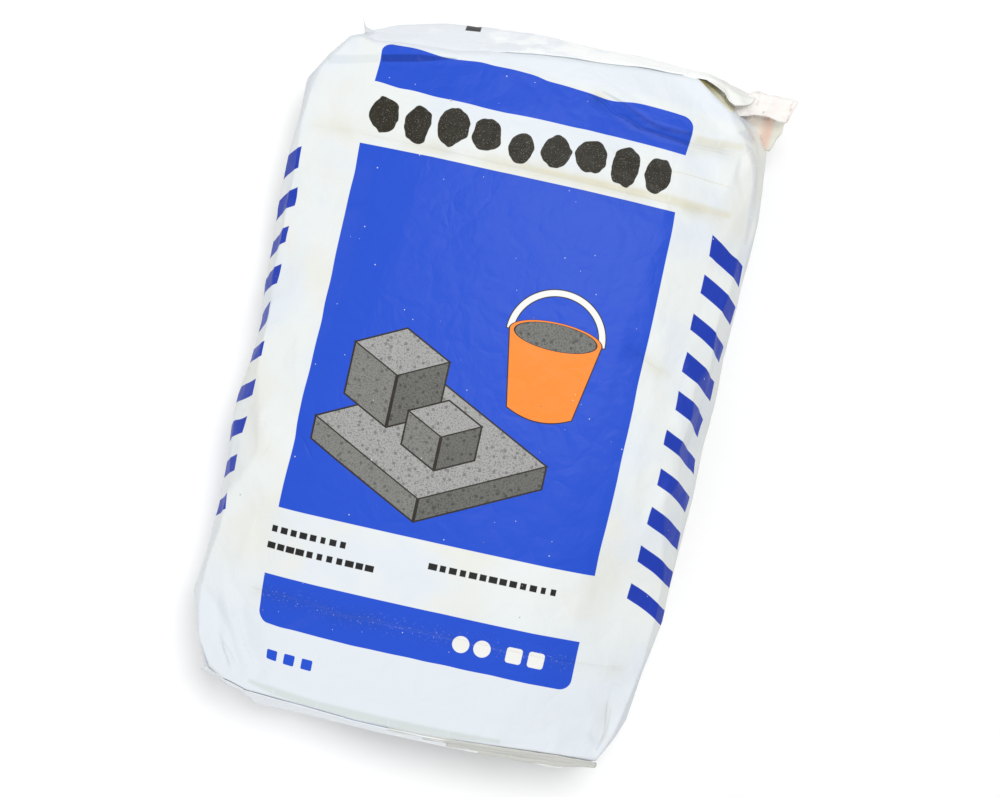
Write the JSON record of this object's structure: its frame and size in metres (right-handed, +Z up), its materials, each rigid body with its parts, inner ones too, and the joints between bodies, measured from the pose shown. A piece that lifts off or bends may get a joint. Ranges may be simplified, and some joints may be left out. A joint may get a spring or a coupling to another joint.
{
  "type": "paper valve sack of dry coarse concrete mix",
  "caption": "Filled block-bottom paper valve sack of dry coarse concrete mix, lying on its back, with pasted end patches and a valve sleeve out of one corner.",
  "frame": {"origin": "The middle of the flat patch of paper that the sack rests on, on the floor plane.", "axes": "+X runs across the printed face, to the side that the valve sleeve sticks out of. +Y runs along the sack to its valve end. +Z is up, out of the printed face."},
  "size_m": [0.327, 0.4814, 0.098],
  "materials": {
    "printed_paper": "bright white coated sack paper, half-gloss, printed in blue",
    "dry_mix": "loose dry grey cement, sand and gravel",
    "patch_paper": "white sack paper, matt",
    "sleeve_paper": "crumpled cream and pinkish valve paper, matt"
  },
  "bodies": {
    "root": {"paper_sack": "printed_paper", "dry_concrete_mix": "dry_mix", "valve_end_patch": "patch_paper", "bottom_end_patch": "patch_paper", "valve_sleeve": "sleeve_paper"}
  },
  "joints": []
}
